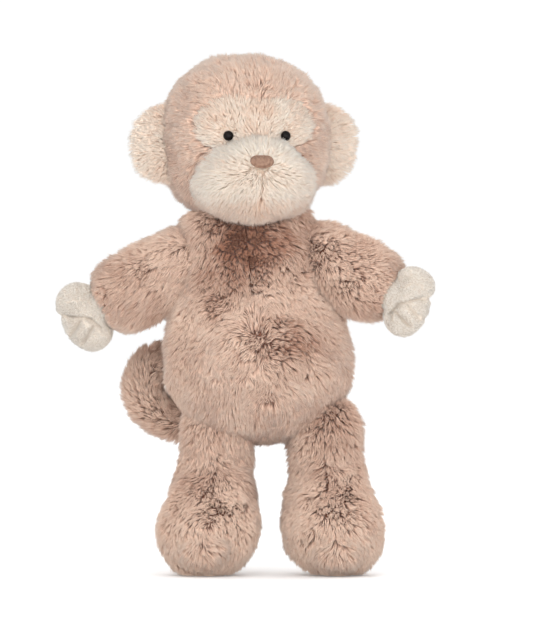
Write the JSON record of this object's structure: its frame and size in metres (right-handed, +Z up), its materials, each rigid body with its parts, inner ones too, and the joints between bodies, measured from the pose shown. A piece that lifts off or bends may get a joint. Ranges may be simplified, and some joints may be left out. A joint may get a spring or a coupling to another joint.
{
  "type": "stuffed monkey",
  "caption": "Floppy plush monkey with a cream face and ivory hands: fur covers over fibre filling, sewn limbs that swing, a turning head and a curled tail.",
  "frame": {"origin": "on the ground under the middle of the toy's bounding box, with the toy standing on its soles", "axes": "+Z up through the head, the face looks along -Y, and the toy's own left side is at +X"},
  "size_m": [0.2594, 0.1332, 0.359],
  "materials": {
    "fur_plush": "dusty pink-beige long-pile plush",
    "cream_plush": "cream long-pile plush",
    "ivory_plush": "ivory short-pile plush",
    "thread": "tan satin stitch",
    "bead": "gloss black",
    "washer": "moulded",
    "fibre": "loose polyester fibre"
  },
  "bodies": {
    "torso": {"torso_front_left": "fur_plush", "torso_front_right": "fur_plush", "torso_back": "fur_plush", "torso_stuffing": "fibre"},
    "neck": {"neck_stuffing": "fibre"},
    "head": {"head_front": "fur_plush", "head_back": "fur_plush", "brow_patch": "cream_plush", "head_stuffing": "fibre", "muzzle_cover": "cream_plush", "muzzle_stuffing": "fibre", "nose_embroidery": "thread", "eye_left": "bead", "eye_right": "bead", "eye_washer_left": "washer", "eye_washer_right": "washer"},
    "ear_left": {"ear_front_left": "cream_plush", "ear_back_left": "fur_plush", "ear_stuffing_left": "fibre"},
    "shoulder_left": {"shoulder_stuffing_left": "fibre"},
    "arm_left": {"arm_sleeve_left": "fur_plush", "arm_stuffing_left": "fibre"},
    "hand_left": {"hand_cover_left": "ivory_plush", "hand_stuffing_left": "fibre"},
    "hip_left": {"hip_stuffing_left": "fibre"},
    "leg_left": {"leg_outer_left": "fur_plush", "leg_inner_left": "fur_plush", "leg_stuffing_left": "fibre"},
    "ear_right": {"ear_front_right": "cream_plush", "ear_back_right": "fur_plush", "ear_stuffing_right": "fibre"},
    "shoulder_right": {"shoulder_stuffing_right": "fibre"},
    "arm_right": {"arm_sleeve_right": "fur_plush", "arm_stuffing_right": "fibre"},
    "hand_right": {"hand_cover_right": "ivory_plush", "hand_stuffing_right": "fibre"},
    "hip_right": {"hip_stuffing_right": "fibre"},
    "leg_right": {"leg_outer_right": "fur_plush", "leg_inner_right": "fur_plush", "leg_stuffing_right": "fibre"},
    "tail_root": {"tail_root_stuffing": "fibre"},
    "tail": {"tail_cover": "fur_plush", "tail_stuffing": "fibre"}
  },
  "joints": [
    {"name": "neck_turn", "type": "hinge", "parent": "torso", "child": "neck", "pos_m": [0.00058, 0.00323, 0.243], "axis": [0, 0, 1], "range_deg": [-60, 40]},
    {"name": "head_nod", "type": "hinge", "parent": "neck", "child": "head", "pos_m": [0.00058, 0.00323, 0.243], "axis": [-0.9833, -0.1822, 0], "range_deg": [-18, 15]},
    {"name": "ear_left_fold", "type": "hinge", "parent": "head", "child": "ear_left", "pos_m": [0.0512, 0.0128, 0.301], "axis": [0, 0, 1], "range_deg": [-30, 30], "stiffness_Nm_per_rad": 0.01},
    {"name": "arm_left_swing", "type": "hinge", "parent": "torso", "child": "shoulder_left", "pos_m": [0.05258, 0.00323, 0.221], "axis": [0, 0, -1], "range_deg": [-50, 25]},
    {"name": "arm_left_raise", "type": "hinge", "parent": "shoulder_left", "child": "arm_left", "pos_m": [0.05258, 0.00323, 0.221], "axis": [-0.5, -0.866, 0], "range_deg": [-8, 45]},
    {"name": "hand_left_flex", "type": "hinge", "parent": "arm_left", "child": "hand_left", "pos_m": [0.10161, -0.02508, 0.19697], "axis": [-0.3384, 0.1954, -0.9205], "range_deg": [-25, 25], "stiffness_Nm_per_rad": 0.01},
    {"name": "leg_left_swing", "type": "hinge", "parent": "torso", "child": "hip_left", "pos_m": [0.05558, 0.00023, 0.102], "axis": [-1, 0, 0], "range_deg": [-25, 80]},
    {"name": "leg_left_splay", "type": "hinge", "parent": "hip_left", "child": "leg_left", "pos_m": [0.05558, 0.00023, 0.102], "axis": [0, -1, 0], "range_deg": [-4, 20]},
    {"name": "ear_right_fold", "type": "hinge", "parent": "head", "child": "ear_right", "pos_m": [-0.05204, -0.00634, 0.301], "axis": [0, 0, -1], "range_deg": [-30, 30], "stiffness_Nm_per_rad": 0.01},
    {"name": "arm_right_swing", "type": "hinge", "parent": "torso", "child": "shoulder_right", "pos_m": [-0.04542, 0.00323, 0.217], "axis": [0, 0, 1], "range_deg": [-26, 49]},
    {"name": "arm_right_raise", "type": "hinge", "parent": "shoulder_right", "child": "arm_right", "pos_m": [-0.04542, 0.00323, 0.217], "axis": [-0.1045, 0.9945, 0], "range_deg": [-8, 45]},
    {"name": "hand_right_flex", "type": "hinge", "parent": "arm_right", "child": "hand_right", "pos_m": [-0.09891, -0.00239, 0.18718], "axis": [-0.4822, -0.0507, 0.8746], "range_deg": [-25, 25], "stiffness_Nm_per_rad": 0.01},
    {"name": "leg_right_swing", "type": "hinge", "parent": "torso", "child": "hip_right", "pos_m": [-0.01942, 0.00023, 0.102], "axis": [-1, 0, 0], "range_deg": [-25, 80]},
    {"name": "leg_right_splay", "type": "hinge", "parent": "hip_right", "child": "leg_right", "pos_m": [-0.01942, 0.00023, 0.102], "axis": [0, 1, 0], "range_deg": [-4, 20]},
    {"name": "tail_wag", "type": "hinge", "parent": "torso", "child": "tail_root", "pos_m": [0.01458, 0.04523, 0.116], "axis": [0, 0, -1], "range_deg": [0, 120]},
    {"name": "tail_raise", "type": "hinge", "parent": "tail_root", "child": "tail", "pos_m": [0.01458, 0.04523, 0.116], "axis": [0, 1, 0], "range_deg": [-8, 30]}
  ]
}
